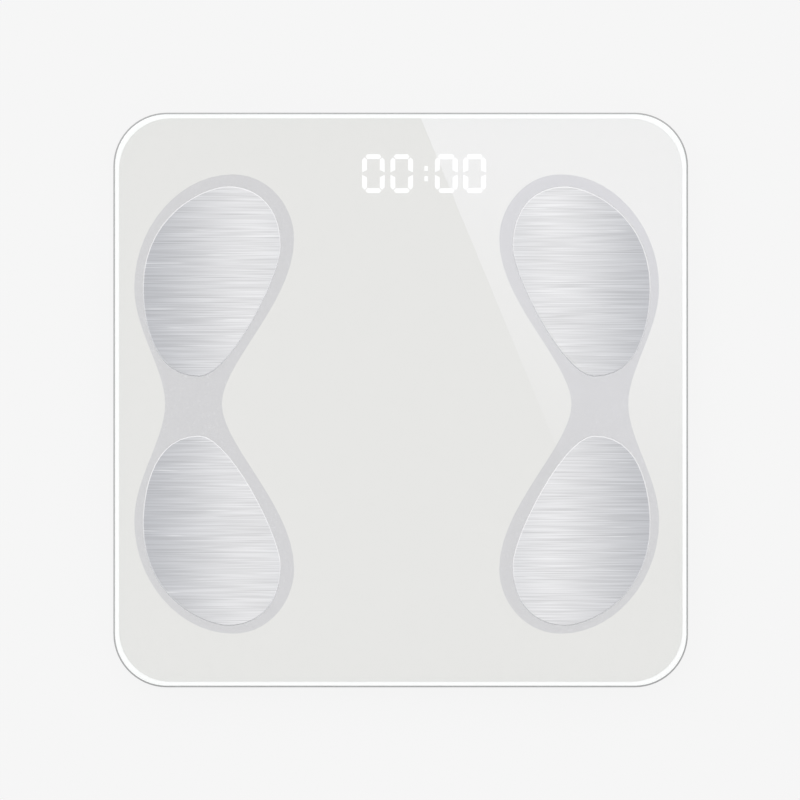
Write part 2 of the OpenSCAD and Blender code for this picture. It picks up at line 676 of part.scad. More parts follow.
module battery_springs() color([0.82, 0.80, 0.74]) for (i = [0 : 2])
  translate([0, bay_y + (i - 1) * battery_pitch, battery_z]) rotate([0, i % 2 == 0 ? 90 : -90, 0])
    translate([0, 0, -bay_l / 2 + contact_t]) coil();

module battery_leads() color([0.75, 0.15, 0.12]) for (i = [0, 2]) {
  start = [bay_l / 2 + bay_wall + 1.5, bay_y + (1 - i) * battery_pitch];
  lane_x = door_right + (i == 0 ? 0.5 : lead_lane);
  lane_y = bay_y + door_w / 2 + lead_lane * (i == 0 ? 1 : 1.5);
  translate([0, 0, board_top]) linear_extrude(lead_h) polygon(ribbon([start, [lane_x, start.y],
    [lane_x, lane_y], [pad_x(i == 0 ? 4 : 5), lane_y], [pad_x(i == 0 ? 4 : 5), pad_y]], wire_w));
}

// ---- Electronics ----

module main_board() color([0.10, 0.38, 0.22]) translate([display_x, board_y, 0]) difference() {
  block(board_w, board_d, board_z, board_t);
  for (sx = sides, sy = sides) translate([sx * (board_w / 2 - boss_in), sy * (board_d / 2 - boss_in), 0])
    disc(board_screw_d + 2 * screw_fit, board_z - cut, board_t + 2 * cut);
}
module board_screws() color([0.66, 0.66, 0.68]) for (sx = sides, sy = sides) at_board_screw(sx, sy)
  pan_screw(board_screw_d, 4.4, 1.6, board_top, board_t + 2.5);

// Driver chip with gull-wing legs, a crystal, two capacitors and a row of resistors below the board
module controller_chip() color([0.08, 0.08, 0.09]) translate([display_x - chip_offset, board_y, 0]) {
  block(chip_w, chip_d, board_z - chip_h - chip_stand, chip_h);
  for (sx = sides, k = [-4 : 4]) translate([sx * (chip_w + leg_reach) / 2, k * chip_d / 10, 0])
    block(leg_reach + 0.2, leg_w, board_z - chip_h / 2 - 0.1, chip_h / 2 + 0.1);
}
module board_parts() color([0.72, 0.60, 0.38]) translate([display_x, board_y, 0]) {
  translate([0, 6, 0]) disc(3.2, board_z - 2.6, 2.6);
  translate([-6, 6, 0]) block(3.2, 1.6, board_z - 1.4, 1.4);
  for (k = [0 : 4]) translate([-4 + 3 * k, -6, 0]) block(1.6, 0.8, board_z - 0.6, 0.6);
  for (k = [0 : 2]) translate([6 + 4 * k, 0, 0]) block(2, 1.25, board_z - 0.9, 0.9);
}

// Segment outlines of one digit, about its centre
module flat_segment(y) polygon([for (p = [[-1, 0], [-1, 1], [1, 1], [1, 0], [1, -1], [-1, -1]])
  [p.x * (digit_w / 2 - segment_t / 2 - segment_gap * 1.4 - abs(p.y) * (segment_t / 2 - segment_gap * 0.6)),
   y + p.y * segment_t / 2]]);
module upright_segment() polygon([
  [digit_w / 2, segment_gap * 2], [digit_w / 2, digit_h / 2 - segment_t * 1.2],
  [digit_w / 2 - segment_t / 2, digit_h / 2 - segment_t / 2 - segment_gap * 1.3],
  [digit_w / 2 - segment_t, digit_h / 2 - segment_t - segment_gap],
  [digit_w / 2 - segment_t, segment_t / 2 + segment_gap * 2]]);
module at_digits() for (x = digit_x) translate([display_x + x, display_y, 0]) children();

// The six outer segments of each nought, and the colon
module segments(z, h) {
  at_digits() translate([0, 0, z]) {
    for (sy = sides) linear_extrude(h) flat_segment(sy * (digit_h / 2 - segment_t / 2));
    for (sx = [0, 1], sy = [0, 1]) mirror([sx, 0, 0]) mirror([0, sy, 0]) linear_extrude(h) upright_segment();
  }
  for (sy = sides) translate([display_x + 1.2, display_y + sy * colon_rise, 0]) block(colon_dot.x, colon_dot.y, z, h);
}
// The unlit bar across the middle of each digit
module middle_bars(z, h) at_digits() translate([0, 0, z]) linear_extrude(h) polygon([
  [-digit_w / 2 + segment_t * 0.6, 0], [-digit_w / 2 + segment_t + segment_gap, segment_t / 2],
  [digit_w / 2 - segment_t - segment_gap, segment_t / 2], [digit_w / 2 - segment_t * 0.6, 0],
  [digit_w / 2 - segment_t - segment_gap, -segment_t / 2], [-digit_w / 2 + segment_t + segment_gap, -segment_t / 2]]);

module lit_segments() color([1, 1, 1]) segments(board_top, glass_z - board_top);
module dark_segments() color([0.90, 0.90, 0.89]) middle_bars(board_top, glass_z - board_top);
module display_frame() color([0.94, 0.94, 0.92]) difference() {
  translate([display_x, display_y, 0]) block(display_w, display_d, board_top, tray_top - board_top);
  segments(board_top - cut, tray_h);
  middle_bars(board_top - cut, tray_h);
}
module display_gasket() color([0.16, 0.16, 0.17]) translate([display_x, display_y, 0]) difference() {
  block(display_w, display_d, tray_top, tape_t);
  block(display_w - display_rim, display_d - display_rim, tray_top - cut, tape_t + 2 * cut);
}

// ---- Unit button ----

module unit_switch() color([0.25, 0.25, 0.27]) translate([button_x, button_y, 0]) difference() {
  block(switch_w, switch_w, board_z - switch_h, switch_h);
  disc(plunger_d + 2 * plunger_fit, board_z - switch_h - cut, cut + plunger_hold + button_travel + 0.1);
}
module switch_plunger() color([0.12, 0.12, 0.13]) translate([button_x, button_y, 0])
  disc(plunger_d, floor_z + flange_t, board_z - switch_h + plunger_hold - floor_z - flange_t);
module unit_button() color([0.75, 0.76, 0.78]) translate([button_x, button_y, 0]) difference() {
  union() {
    disc(button_d, tray_lift + 0.4, floor_z + flange_t - tray_lift - 0.4);
    disc(button_d + 2 * flange_over, floor_z, flange_t);
  }
  disc(button_d - 3, tray_lift, 0.7);
}

// ---- Load cells ----

// Square steel cell: a tongue cut free on three sides, with the foot screw's hole at its middle
module load_cell(sx, sy) color([0.62, 0.63, 0.64]) at_corner(sx, sy) difference() {
  block(cell_w, cell_w, cell_z, cell_t);
  difference() {
    block(slot_w, slot_w, cell_z - cut, cell_t + 2 * cut);
    translate([-tongue_w / 2, -slot_w / 2 - 2 * cut, cell_z - 2 * cut])
      cube([tongue_w, slot_w - 1.5 + 2 * cut, cell_t + 4 * cut]);
  }
  disc(foot_screw_d + 0.6, cell_z - cut, cell_t + 2 * cut);
  for (cx = sides, cy = sides) translate([cx * (cell_w / 2 - 2.5), cy * (cell_w / 2 - 2.5), 0])
    disc(1.8, cell_z - cut, cell_t + 2 * cut);
}
module gauge_seals() color([0.95, 0.95, 0.94]) for (sx = sides, sy = sides) at_corner(sx, sy)
  translate([0, -slot_w / 2 + 2.5, 0]) {
    block(8, 4.4, cell_top, 0.7);
    block(6, 3, cell_top + 0.7, 0.5);
  }

// Clamp that bears on the cell's outer frame and carries the glass
module cell_clamp(sx, sy) color([0.88, 0.88, 0.87]) at_corner(sx, sy) difference() {
  union() {
    block(cell_w, cell_w, cell_top, tray_top - cell_top);
    for (side = sides) {
      translate([side * (tower_w / 2 + ear_reach), 0, 0]) disc(2 * ear_r, ear_z, ear_t);
      translate([side * (cell_w / 2 + ear_reach) / 2 + side * 4, 0, 0])
        block(cell_w / 2 + ear_reach - 4, 2 * ear_r, ear_z, ear_t);
    }
  }
  block(slot_w, slot_w, cell_top - cut, tray_top);
  translate([0, -cell_w / 2, 0]) block(lead_notch, 2 * cell_frame, cell_top - cut, 5);
  for (side = sides) translate([side * (tower_w / 2 + ear_reach), 0, 0])
    disc(clamp_screw_d + 0.4, ear_z - cut, ear_t + 2 * cut);
}
module clamp_screws() color([0.66, 0.66, 0.68]) for (sx = sides, sy = sides) at_corner(sx, sy)
  for (side = sides) translate([side * (tower_w / 2 + ear_reach), 0, 0])
    pan_screw(clamp_screw_d, 5.2, 1.8, ear_z + ear_t, ear_t + 4);

// Three-wire lead from a cell along the rib tops to the board
module cell_lead(sx, sy) color([0.85, 0.30, 0.25]) {
  exit_y = foot_y - cell_w / 2 + cell_frame / 2;
  pad = sy > 0 ? (sx < 0 ? 2 : 7) : (sx < 0 ? 3 : 6);
  lane_y = board_front - lead_lane * (sy > 0 ? 3 : 4);
  turn_x = sx * (foot_x - tower_w / 2 - 3 * lead_lane);
  turn_y = -foot_y + tower_w / 2 + lead_lane;
  route = sy > 0 ? [[sx * foot_x, exit_y], [sx * foot_x, lane_y], [pad_x(pad), lane_y], [pad_x(pad), pad_y]]
    : [[sx * foot_x, -exit_y], [sx * foot_x, turn_y], [turn_x, turn_y], [turn_x, lane_y], [pad_x(pad), lane_y],
       [pad_x(pad), pad_y]];
  translate([0, 0, board_top]) linear_extrude(lead_h) polygon(ribbon(route, cell_lead_w));
  translate([sx * foot_x, sy * exit_y, 0]) block(cell_lead_w, 2, cell_top, board_top - cell_top);
}

// ---- Feet ----

module foot_cup(sx, sy) color([0.72, 0.72, 0.73]) at_corner(sx, sy) difference() {
  union() {
    rotate_extrude() polygon([[0, cup_z], [foot_d / 2 - 0.6, cup_z], [foot_d / 2, cup_z + 0.6],
      [foot_d / 2, cup_top - 1], [foot_d / 2 - 0.3, cup_top - 0.3], [foot_d / 2 - 1, cup_top],
      [neck_d / 2 + 1, cup_top], [neck_d / 2, cup_top + 1], [neck_d / 2, cell_z - 1.4],
      [neck_d / 2 - 2, cell_z], [0, cell_z]]);
  }
  disc(pad_d + 2 * pad_fit, cup_z - cut, cut + pad_seat);
  disc(foot_screw_d + 2 * screw_fit, cell_z - foot_screw_reach, foot_screw_reach + cut);
}
module foot_pad(sx, sy) color([0.22, 0.22, 0.23]) at_corner(sx, sy) difference() {
  rotate_extrude() polygon([[0, 0], [pad_d / 2 - 0.8, 0], [pad_d / 2, 0.8], [pad_d / 2, pad_t], [0, pad_t]]);
  for (r = [pad_d / 2 - 2 * tread_step : tread_step : pad_d / 2 - tread_step + 0.1])
    translate([0, 0, -cut]) difference() {
      cylinder(r = r, h = cut + 0.6);
      translate([0, 0, -cut]) cylinder(r = r - 1, h = 3 * cut);
    }
}
module foot_screw(sx, sy) color([0.66, 0.66, 0.68]) at_corner(sx, sy)
  pan_screw(foot_screw_d, foot_screw_head, 2.4, cell_top, cell_t + foot_screw_reach - 0.5);

glass_panel();
backing_print();
field_print(-1);  // field_print_left
field_print(1);  // field_print_right
foam_tape();
electrode(-1, -1);  // electrode_front_left
electrode(1, -1);  // electrode_front_right
electrode(-1, 1);  // electrode_rear_left
electrode(1, 1);  // electrode_rear_right
electrode_studs();
stud_nuts();
ring_terminals();
electrode_leads();
base_tray();
battery_door();
battery(0);  // battery_front
battery(1);  // battery_middle
battery(2);  // battery_rear
battery_springs();
battery_contacts();
battery_leads();
main_board();
board_parts();
controller_chip();
board_screws();
display_frame();
display_gasket();
lit_segments();
dark_segments();
unit_switch();
switch_plunger();
unit_button();
gauge_seals();
clamp_screws();
load_cell(-1, -1);  // load_cell_front_left
load_cell(1, -1);  // load_cell_front_right
load_cell(-1, 1);  // load_cell_rear_left
load_cell(1, 1);  // load_cell_rear_right
cell_clamp(-1, -1);  // cell_clamp_front_left
cell_clamp(1, -1);  // cell_clamp_front_right
cell_clamp(-1, 1);  // cell_clamp_rear_left
cell_clamp(1, 1);  // cell_clamp_rear_right
cell_lead(-1, -1);  // cell_lead_front_left
cell_lead(1, -1);  // cell_lead_front_right
cell_lead(-1, 1);  // cell_lead_rear_left
cell_lead(1, 1);  // cell_lead_rear_right
foot_cup(-1, -1);  // foot_cup_front_left
foot_cup(1, -1);  // foot_cup_front_right
foot_cup(-1, 1);  // foot_cup_rear_left
foot_cup(1, 1);  // foot_cup_rear_right
foot_pad(-1, -1);  // foot_pad_front_left
foot_pad(1, -1);  // foot_pad_front_right
foot_pad(-1, 1);  // foot_pad_rear_left
foot_pad(1, 1);  // foot_pad_rear_right
foot_screw(-1, -1);  // foot_screw_front_left
foot_screw(1, -1);  // foot_screw_front_right
foot_screw(-1, 1);  // foot_screw_rear_left
foot_screw(1, 1);  // foot_screw_rear_right
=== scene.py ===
# Digital bathroom scale: materials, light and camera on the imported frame
import math

import bpy
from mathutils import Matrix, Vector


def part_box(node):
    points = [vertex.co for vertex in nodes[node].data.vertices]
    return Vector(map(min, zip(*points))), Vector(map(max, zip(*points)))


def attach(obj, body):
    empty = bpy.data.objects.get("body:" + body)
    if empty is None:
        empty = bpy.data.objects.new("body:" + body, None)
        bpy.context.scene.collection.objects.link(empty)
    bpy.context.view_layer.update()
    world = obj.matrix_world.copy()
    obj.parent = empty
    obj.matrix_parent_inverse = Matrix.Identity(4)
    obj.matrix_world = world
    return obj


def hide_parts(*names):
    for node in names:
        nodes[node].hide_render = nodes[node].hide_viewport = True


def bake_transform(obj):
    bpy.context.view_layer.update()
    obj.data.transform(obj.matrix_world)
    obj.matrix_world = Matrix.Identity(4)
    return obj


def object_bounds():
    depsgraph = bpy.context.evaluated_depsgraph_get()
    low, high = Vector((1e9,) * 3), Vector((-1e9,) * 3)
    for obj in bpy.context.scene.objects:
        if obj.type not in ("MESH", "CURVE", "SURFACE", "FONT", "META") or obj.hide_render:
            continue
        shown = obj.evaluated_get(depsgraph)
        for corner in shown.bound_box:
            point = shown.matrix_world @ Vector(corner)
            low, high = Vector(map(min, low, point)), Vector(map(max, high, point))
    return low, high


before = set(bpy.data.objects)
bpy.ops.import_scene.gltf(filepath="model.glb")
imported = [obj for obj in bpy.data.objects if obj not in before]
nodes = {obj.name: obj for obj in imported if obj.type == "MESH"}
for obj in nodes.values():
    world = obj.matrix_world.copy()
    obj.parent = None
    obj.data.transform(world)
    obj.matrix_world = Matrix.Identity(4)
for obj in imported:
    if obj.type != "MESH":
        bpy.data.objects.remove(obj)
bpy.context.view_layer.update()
corners = ("front_left", "front_right", "rear_left", "rear_right")
noiseRange = (0.3, 0.7)  # nearly all of a noise lies between these
weldWithin = 0.000001
print("frame loaded:", len(nodes), "nodes")


# A socket that can be added and multiplied, so that shader maths reads as maths
class Wire:
    def __init__(self, sheet, socket):
        self.sheet = sheet
        self.socket = socket

    def calc(self, operation, *others):
        return self.sheet.add("ShaderNodeMath", {"operation": operation}, (self, *others))

    def __add__(self, other):
        return self.calc("ADD", other)

    def __sub__(self, other):
        return self.calc("SUBTRACT", other)

    def __mul__(self, other):
        return self.calc("MULTIPLY", other)

    def __rsub__(self, other):
        return self.calc("MULTIPLY_ADD", -1.0, other)

    __radd__ = __add__
    __rmul__ = __mul__


# One node tree, and one method that adds any node to it
class Sheet:
    def __init__(self, tree):
        self.tree = tree

    def plug(self, target, value):
        if isinstance(value, Wire):
            self.tree.links.new(value.socket, target)
            return
        if target.type == "RGBA" and len(value) == 3:
            value = (*value, 1.0)
        target.default_value = value

    def add(self, kind, settings=None, values=(), out=0):
        node = self.tree.nodes.new(kind)
        for name, value in (settings or {}).items():
            if name == "stops":
                self.setStops(node, value)
            else:
                setattr(node, name, value)
        pairs = values.items() if isinstance(values, dict) else enumerate(values)
        for name, value in pairs:
            self.plug(node.inputs[name], value)
        return Wire(self, node.outputs[out]) if len(node.outputs) else None

    def setStops(self, node, stops):
        ramp = node.color_ramp
        while len(ramp.elements) < len(stops):
            ramp.elements.new(0.5)
        for element, (place, colour) in zip(ramp.elements, stops):
            element.position = place
            element.color = (*colour, 1.0)

    # Mix and Map Range have sockets that share a name, so theirs go by number
    def mix(self, factor, first, second):
        return self.add("ShaderNodeMix", {"data_type": "RGBA"}, {"Factor": factor, 6: first, 7: second}, 2)

    def level(self, value, low, high, toLow=0.0, toHigh=1.0, smooth=False):
        settings = {"interpolation_type": "SMOOTHSTEP" if smooth else "LINEAR", "clamp": True}
        return self.add("ShaderNodeMapRange", settings, {0: value, 1: low, 2: high, 3: toLow, 4: toHigh})

    def spread(self, noise, toLow=0.0, toHigh=1.0):
        return self.level(noise, *noiseRange, toLow, toHigh)

    def scaled(self, colour, factor):
        return self.add("ShaderNodeVectorMath", {"operation": "SCALE"}, {0: colour, "Scale": factor})

    def place(self, scale=(1.0, 1.0, 1.0), shift=(0.0, 0.0, 0.0), turn=(0.0, 0.0, 0.0)):
        objectSpace = self.add("ShaderNodeTexCoord", out="Object")
        values = {"Vector": objectSpace, "Location": shift, "Rotation": turn, "Scale": scale}
        return self.add("ShaderNodeMapping", None, values)

    def noise(self, vector, scale, detail=2.0, rough=0.5):
        values = {"Vector": vector, "Scale": scale, "Detail": detail, "Roughness": rough}
        return self.add("ShaderNodeTexNoise", None, values)

    def cells(self, vector, scale, out="Distance"):
        return self.add("ShaderNodeTexVoronoi", None, {"Vector": vector, "Scale": scale}, out)

    def axes(self, vector):
        split = self.add("ShaderNodeSeparateXYZ", None, [vector])
        return [Wire(self, socket) for socket in split.socket.node.outputs]

    def ramp(self, value, stops):
        return self.add("ShaderNodeValToRGB", {"stops": stops}, [value])

    def bump(self, height, strength, distance):
        values = {"Height": height, "Strength": strength, "Distance": distance}
        return self.add("ShaderNodeBump", None, values)

    def geometry(self, out):
        return self.add("ShaderNodeNewGeometry", out=out)

    def ray(self, out):
        return self.add("ShaderNodeLightPath", out=out)

    def principled(self, values):
        return self.add("ShaderNodeBsdfPrincipled", None, values)


def newMaterial(name, paint):
    material = bpy.data.materials.new(name)
    material.use_nodes = True
    tree = material.node_tree
    tree.nodes.clear()
    sheet = Sheet(tree)
    sheet.add("ShaderNodeOutputMaterial", None, {"Surface": paint(sheet)})
    return material


def dress(material, *names):
    for name in names:
        for slot in nodes[name].material_slots:
            slot.material = material


# Clear float glass: only its upper side mirrors, so that it doesn't turn into a mirror from within
glassLook = {
    "clear": (0.996, 0.9975, 0.9965),
    "edge": (0.93, 0.965, 0.955),
    "edgeAt": (0.75, 0.2),  # how far up a face looks: clear above the first, green below the second
    "mirrorIor": 1.6,
    "polish": 0.0,
}


def paintGlass(sheet):
    upward = sheet.axes(sheet.geometry("Normal"))[2].calc("ABSOLUTE")
    side = sheet.level(upward, *glassLook["edgeAt"])
    clear = sheet.add("ShaderNodeBsdfTransparent", None, [glassLook["clear"]])
    green = sheet.add("ShaderNodeBsdfTransparent", None, [glassLook["edge"]])
    through = sheet.add("ShaderNodeMixShader", None, [side, clear, green])
    polish = {"Color": (1, 1, 1), "Roughness": glassLook["polish"]}
    mirror = sheet.add("ShaderNodeBsdfAnisotropic", None, polish)
    outside = 1 - sheet.geometry("Backfacing")
    share = sheet.add("ShaderNodeFresnel", None, {"IOR": glassLook["mirrorIor"]}) * outside
    return sheet.add("ShaderNodeMixShader", None, [share, through, mirror])


# Screen prints on the underside of the glass: pearl all over, fine-grained silver in the two fields
printLook = {
    "panel": (0.814, 0.809, 0.796),
    "panelRough": 0.55,
    "grain": 0.0009,
    "grainShade": (0.996, 1.003),
    "grainBump": (0.08, 0.00005),
    "field": (0.672, 0.667, 0.683),
    "fieldRough": 0.5,
    "fleck": 0.00042,
    "fleckShade": (0.965, 1.02),
    "fineScale": 2600.0,
    "fineShade": (0.98, 1.02),
    "bright": (0.95, 0.95, 0.97),
    "brightPick": (0.965, 0.985),  # only the topmost few flecks are bright
    "brightShine": 0.24,
    "brightMetal": 0.3,
    "paintedShadeAgainstWindow": 0.953,  # painted shade towards the back right corner, against the window's reflection in the glass
    "paintedShadeAgainstWindowAt": (0.09, 0.17),
    "ior": 1.3,
}


def paintPanelPrint(sheet):
    grain = sheet.noise(sheet.place(), 1 / printLook["grain"], 3.0)
    values = {
        "Base Color": sheet.scaled(printLook["panel"], sheet.spread(grain, *printLook["grainShade"])),
        "Roughness": printLook["panelRough"],
        "IOR": printLook["ior"],
        "Normal": sheet.bump(grain, *printLook["grainBump"]),
    }
    return sheet.principled(values)


def paintFieldPrint(sheet):
    where = sheet.place()
    x, y = sheet.axes(where)[:2]
    pick = sheet.axes(sheet.cells(where, 1 / printLook["fleck"], "Color"))[0]
    fine = sheet.noise(where, printLook["fineScale"], 2.0)
    shade = sheet.level(pick, 0.0, 1.0, *printLook["fleckShade"])
    shade = shade * sheet.spread(fine, *printLook["fineShade"])
    # painted shade: darker towards the back right corner, where the window is reflected
    shade = shade * sheet.level(x + y, *printLook["paintedShadeAgainstWindowAt"], 1.0, printLook["paintedShadeAgainstWindow"])
    bright = sheet.level(pick, *printLook["brightPick"])
    silver = sheet.scaled(printLook["field"], shade)
    values = {
        "Base Color": sheet.mix(bright * printLook["brightShine"], silver, printLook["bright"]),
        "Roughness": printLook["fieldRough"],
        "IOR": printLook["ior"],
        "Metallic": bright * printLook["brightMetal"],
    }
    return sheet.principled(values)


# Closed-cell foam tape with a fine open skin and a faint painted glow
foamLook = {
    "pore": (0.94, 0.94, 0.94),
    "skin": (0.985, 0.985, 0.985),
    "poreScale": 2200.0,
    "poreEdge": (0.1, 0.5),
    "poreBump": (0.15, 0.0001),
    "rough": 0.85,
    "ior": 1.25,
    "paintedGlow": 0.06,  # painted glow, standing in for light the glass edge brings to it
}


def paintFoamTape(sheet):
    pores = sheet.cells(sheet.place(), foamLook["poreScale"])
    skin = sheet.level(pores, *foamLook["poreEdge"])
    values = {
        "Base Color": sheet.mix(skin, foamLook["pore"], foamLook["skin"]),
        "Roughness": foamLook["rough"],
        "IOR": foamLook["ior"],
        "Normal": sheet.bump(skin, *foamLook["poreBump"]),
        # painted glow, so the tape looks brighter through the glass
        "Emission Color": (1, 1, 1),
        "Emission Strength": foamLook["paintedGlow"],
    }
    return sheet.principled(values)


# Brushed stainless steel: long streaks across, darker towards the scale's sides; that darkening and the
# bright band inwards are a painted reflection
steelLook = {
    # outer, middle and inner are painted reflection tones, placed across at outerX, middleX and innerX
    "outer": (0.530, 0.539, 0.567),
    "middle": (0.784, 0.784, 0.797),
    "inner": (0.748, 0.753, 0.771),
    "outerX": 0.128,
    "middleX": 0.072,
    "innerX": 0.052,
    "streakLong": 0.036,
    "streakWide": (0.0013, 0.00062, 0.00034),
    "streakShare": (0.2, 0.4, 0.4),
    "streakShift": 900.0,  # times its width, so that the three layers don't line up
    "streakRange": (0.32, 0.68),
    "streakDepth": 0.19,
    "streakRough": (0.36, 0.28),
    "streakBump": (0.12, 0.00002),
    "paintedWindowReflection": 1.035,  # painted reflection of the window, towards the back right corner
    "paintedWindowReflectionAt": (0.05, 0.2),
    "glint": (0.96, 0.97, 0.98),
    "glintScale": (32.0, 760.0, 1.0),
    "glintShift": (0.3, 0.7, 0.0),
    "glintPick": (0.68, 0.78),
    "glintShare": 0.5,
    "rimAt": (0.985, 0.9),  # how far up a face looks: flat above the first, rim below the second
    "rimTurn": (-0.2, 0.1),  # and how far back: front rims get painted shade, back rims a painted highlight
    "rimPaintedShade": (0.70, 0.71, 0.73),
    "rimPaintedHighlight": (0.97, 0.97, 0.975),
    "rimPolish": 0.6,
}


def paintBrushedSteel(sheet):
    x, y = sheet.axes(sheet.place())[:2]
    across = x.calc("ABSOLUTE")
    # painted reflection: the base colour runs from dark at the sides to a bright band inwards
    toMiddle = sheet.level(across, steelLook["outerX"], steelLook["middleX"], smooth=True)
    toInner = sheet.level(across, steelLook["middleX"], steelLook["innerX"], smooth=True)
    outerPaintedReflection = sheet.mix(toMiddle, steelLook["outer"], steelLook["middle"])
    body = sheet.mix(toInner, outerPaintedReflection, steelLook["inner"])
    blend = 0.0
    for wide, share in zip(steelLook["streakWide"], steelLook["streakShare"]):
        stretch = (1 / steelLook["streakLong"], 1 / wide, 1.0)
        stretched = sheet.place(stretch, (wide * steelLook["streakShift"], 0.0, 0.0))
        blend = sheet.noise(stretched, 1.0, 1.0) * share + blend
    deep = steelLook["streakDepth"]
    shade = sheet.level(blend, *steelLook["streakRange"], 1 - deep, 1 + deep)
    # painted reflection of the window: brighter towards the back right corner
    shade = shade * sheet.level(x + y, *steelLook["paintedWindowReflectionAt"], 1.0, steelLook["paintedWindowReflection"])
    glint = sheet.noise(sheet.place(steelLook["glintScale"], steelLook["glintShift"]), 1.0, 1.0)
    glintShare = sheet.level(glint, *steelLook["glintPick"]) * steelLook["glintShare"]
    colour = sheet.mix(glintShare, sheet.scaled(body, shade), steelLook["glint"])
    # painted light on the rims: darker where they face the front, brighter where they face the back
    backward, upward = sheet.axes(sheet.geometry("Normal"))[1:]
    rim = sheet.level(upward, *steelLook["rimAt"])
    rimTurn = sheet.level(backward, *steelLook["rimTurn"])
    rimPaintedLight = sheet.mix(rimTurn, steelLook["rimPaintedShade"], steelLook["rimPaintedHighlight"])
    values = {
        "Base Color": sheet.mix(rim, colour, rimPaintedLight),
        "Metallic": 1.0,
        "Roughness": sheet.spread(blend, *steelLook["streakRough"]) * (1 - rim * steelLook["rimPolish"]),
        "Normal": sheet.bump(blend, *steelLook["streakBump"]),
    }
    return sheet.principled(values)


# Moulded plastics: a spark-eroded skin, slightly uneven in colour and gloss
plasticLook = {
    "cloudScale": 28.0,
    "roughEitherSide": 0.06,
    "skinStrength": 0.35,
}


def mouldedPlastic(name, colour, roughness, skin=0.0006, depth=0.00003, uneven=0.012):
    def paint(sheet):
        where = sheet.place()
        texture = sheet.noise(where, 1 / skin, 3.0, 0.6)
        cloud = sheet.noise(where, plasticLook["cloudScale"], 2.0)
        more = plasticLook["roughEitherSide"]
        values = {
            "Base Color": sheet.scaled(colour, sheet.spread(cloud, 1 - uneven, 1 + uneven)),
            "Roughness": sheet.spread(texture, roughness - more, roughness + more),
            "Normal": sheet.bump(texture, plasticLook["skinStrength"], depth),
        }
        return sheet.principled(values)

    return newMaterial(name, paint)


# Bare and plated metals: a mottled tone and short scratches
metalLook = {
    "scratchScale": (900.0, 60.0, 900.0),
    "scratchTurn": (0.0, 0.0, 0.5),
    "scratchBump": (0.1, 0.00002),
    "rougher": 0.07,
    "smoother": 0.05,
}


def plainMetal(name, colour, roughness, mottle=0.004, uneven=0.06):
    def paint(sheet):
        cloud = sheet.noise(sheet.place(), 1 / mottle, 4.0, 0.6)
        stretched = sheet.place(metalLook["scratchScale"], turn=metalLook["scratchTurn"])
        scratches = sheet.noise(stretched, 1.0, 2.0)
        rough, smooth = roughness + metalLook["rougher"], roughness - metalLook["smoother"]
        values = {
            "Base Color": sheet.scaled(colour, sheet.spread(cloud, 1 - uneven, 1 + uneven / 2)),
            "Metallic": 1.0,
            "Roughness": sheet.spread(cloud, rough, smooth),
            "Normal": sheet.bump(scratches, *metalLook["scratchBump"]),
        }
        return sheet.principled(values)

    return newMaterial(name, paint)


# Rubber: matt, with bloom in faint clouds
rubberLook = {
    "black": (0.105, 0.107, 0.11),
    "bloom": (0.15, 0.152, 0.155),
    "bloomScale": 160.0,
    "bloomAt": (0.35, 0.7),
    "rough": (0.72, 0.84),
    "gritScale": 2400.0,
    "gritBump": (0.3, 0.00004),
}


def paintRubber(sheet):
    where = sheet.place()
    bloom = sheet.noise(where, rubberLook["bloomScale"], 4.0, 0.6)
    bloomShare = sheet.level(bloom, *rubberLook["bloomAt"])
    grit = sheet.noise(where, rubberLook["gritScale"], 2.0)
    values = {
        "Base Color": sheet.mix(bloomShare, rubberLook["black"], rubberLook["bloom"]),
        "Roughness": sheet.spread(bloom, *rubberLook["rough"]),
        "Normal": sheet.bump(grit, *rubberLook["gritBump"]),
    }
    return sheet.principled(values)


# Green solder mask over copper tracks that run between the parts
boardLook = {
    "mask": (0.012, 0.11, 0.045),
    "track": (0.03, 0.21, 0.075),
    "lanes": 520.0,  # to the metre
    "laneFrom": (0.42, 0.5),
    "laneTo": (0.92, 0.84),
    "wobbleScale": 90.0,
    "wobble": 0.004,
    "reachScale": (60.0, 14.0, 1.0),
    "reachAt": (0.47, 0.5),
    "rough": 0.32,
    "coat": 0.4,
    "trackBump": (0.5, 0.00004),
}


def paintBoard(sheet):
    where = sheet.place()
    y = sheet.axes(where)[1]
    wobble = sheet.noise(where, boardLook["wobbleScale"], 1.0) * boardLook["wobble"]
    lane = ((y + wobble) * boardLook["lanes"]).calc("FRACT")
    reach = sheet.level(sheet.noise(sheet.place(boardLook["reachScale"]), 1.0, 1.0), *boardLook["reachAt"])
    track = sheet.level(lane, *boardLook["laneFrom"]) * sheet.level(lane, *boardLook["laneTo"]) * reach
    values = {
        "Base Color": sheet.mix(track, boardLook["mask"], boardLook["track"]),
        "Roughness": boardLook["rough"],
        "Coat Weight": boardLook["coat"],
        "Normal": sheet.bump(track, *boardLook["trackBump"]),
    }
    return sheet.principled(values)


# Small parts on the board, each with its own tone between tan, grey and brown
partsLook = {
    "tones": (
        (0.0, (0.42, 0.31, 0.19)),
        (0.45, (0.46, 0.36, 0.25)),
        (0.6, (0.11, 0.11, 0.115)),
        (1.0, (0.22, 0.15, 0.10)),
    ),
    "partScale": 190.0,
    "rough": 0.5,
    "grainScale": 1800.0,
    "grainBump": (0.2, 0.00003),
}


def paintBoardParts(sheet):
    where = sheet.place()
    tone = sheet.axes(sheet.cells(where, partsLook["partScale"], "Color"))[0]
    grain = sheet.noise(where, partsLook["grainScale"], 2.0)
    values = {
        "Base Color": sheet.ramp(tone, partsLook["tones"]),
        "Roughness": partsLook["rough"],
        "Normal": sheet.bump(grain, *partsLook["grainBump"]),
    }
    return sheet.principled(values)


